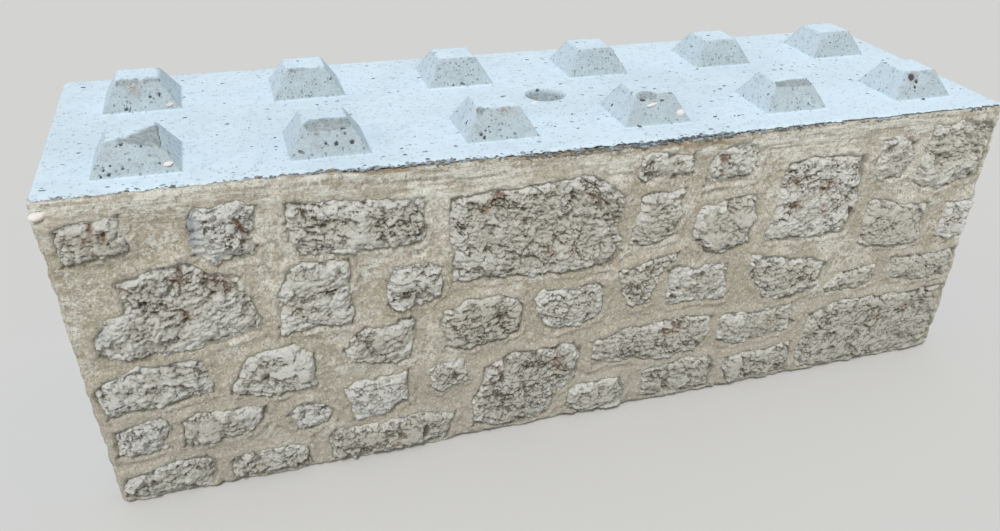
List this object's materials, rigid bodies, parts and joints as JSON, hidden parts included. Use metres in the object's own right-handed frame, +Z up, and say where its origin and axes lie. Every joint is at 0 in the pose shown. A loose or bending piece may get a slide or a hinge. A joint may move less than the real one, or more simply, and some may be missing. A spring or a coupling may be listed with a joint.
{
  "type": "concrete stacking block",
  "caption": "Heavy cast concrete stacking block with pyramid studs on its deck, matching pockets underneath and a face of natural rubble stones set in mortar.",
  "frame": {"origin": "on the floor, under the middle of the block's bounding box", "axes": "+X along the block's length, -Y out of the stone face, +Z up through the studs"},
  "size_m": [1.8, 0.6, 0.65],
  "materials": {
    "concrete": "as cast, smooth with small pits",
    "mortar": "rough, trowelled and stained",
    "limestone": "broken face, pitted and layered"
  },
  "bodies": {
    "root": {"block_body": "concrete", "facing_mortar": "mortar", "facing_stone_01": "limestone", "facing_stone_02": "limestone", "facing_stone_03": "limestone", "facing_stone_04": "limestone", "facing_stone_05": "limestone", "facing_stone_06": "limestone", "facing_stone_07": "limestone", "facing_stone_08": "limestone", "facing_stone_09": "limestone", "facing_stone_10": "limestone", "facing_stone_11": "limestone", "facing_stone_12": "limestone", "facing_stone_13": "limestone", "facing_stone_14": "limestone", "facing_stone_15": "limestone", "facing_stone_16": "limestone", "facing_stone_17": "limestone", "facing_stone_18": "limestone", "facing_stone_19": "limestone", "facing_stone_20": "limestone", "facing_stone_21": "limestone", "facing_stone_22": "limestone", "facing_stone_23": "limestone", "facing_stone_24": "limestone", "facing_stone_25": "limestone", "facing_stone_26": "limestone", "facing_stone_27": "limestone", "facing_stone_28": "limestone", "facing_stone_29": "limestone", "facing_stone_30": "limestone", "facing_stone_31": "limestone", "facing_stone_32": "limestone", "facing_stone_33": "limestone", "facing_stone_34": "limestone", "facing_stone_35": "limestone", "facing_stone_36": "limestone", "facing_stone_37": "limestone", "facing_stone_38": "limestone", "facing_stone_39": "limestone", "facing_stone_40": "limestone", "facing_stone_41": "limestone"}
  },
  "joints": []
}
